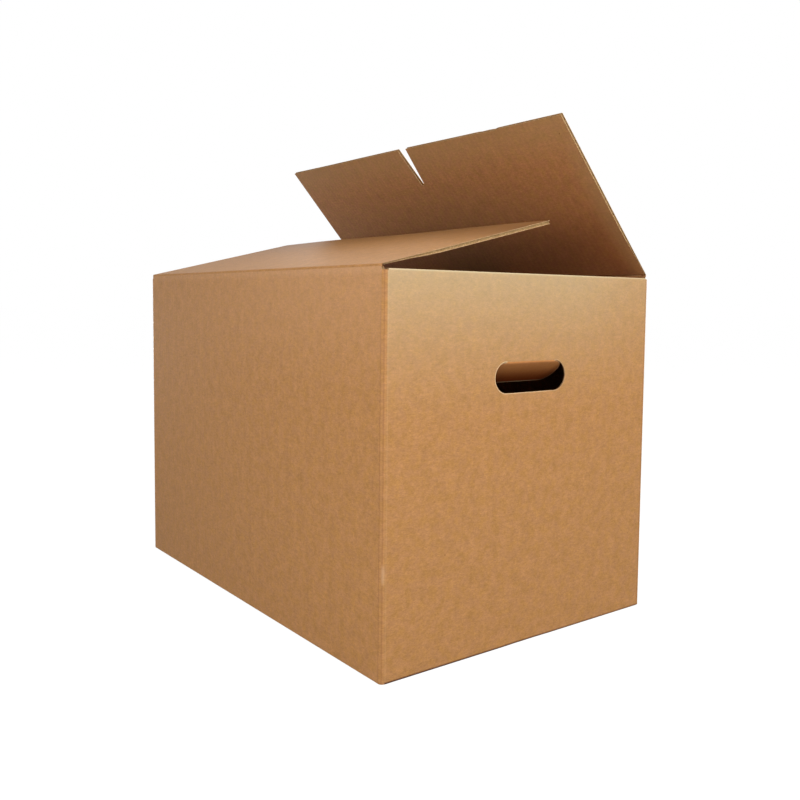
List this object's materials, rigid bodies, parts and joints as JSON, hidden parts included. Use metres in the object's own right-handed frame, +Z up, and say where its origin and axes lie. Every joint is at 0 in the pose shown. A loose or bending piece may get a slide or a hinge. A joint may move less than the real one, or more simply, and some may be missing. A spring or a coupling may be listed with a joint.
{
  "type": "moving box",
  "caption": "Open corrugated carton with hand holes in its end walls, end flaps folded in level, and two side flaps that hinge at the top.",
  "frame": {"origin": "middle of the underside, on the surface that the box stands on", "axes": "+Z up, Y along the box's length with the front end wall facing -Y, X across its width with the hinged flaps on the -X and +X walls"},
  "size_m": [0.41, 0.61, 0.6029],
  "materials": {
    "board": "matte",
    "board_left_flap": "matte",
    "board_right_flap": "matte",
    "tape": "gloss"
  },
  "bodies": {
    "box": {"carton": "board", "bottom_tape": "tape"},
    "left_flap": {"left_top_flap": "board_left_flap"},
    "right_flap": {"right_top_flap": "board_right_flap"}
  },
  "joints": [
    {"name": "left_flap_fold", "type": "hinge", "parent": "box", "child": "left_flap", "pos_m": [-0.20515, 0, 0.4246], "axis": [0, -1, 0], "range_deg": [-13.5, 251.5]},
    {"name": "right_flap_fold", "type": "hinge", "parent": "box", "child": "right_flap", "pos_m": [0.20515, 0, 0.4246], "axis": [0, 1, 0], "range_deg": [-28.5, 217]}
  ]
}
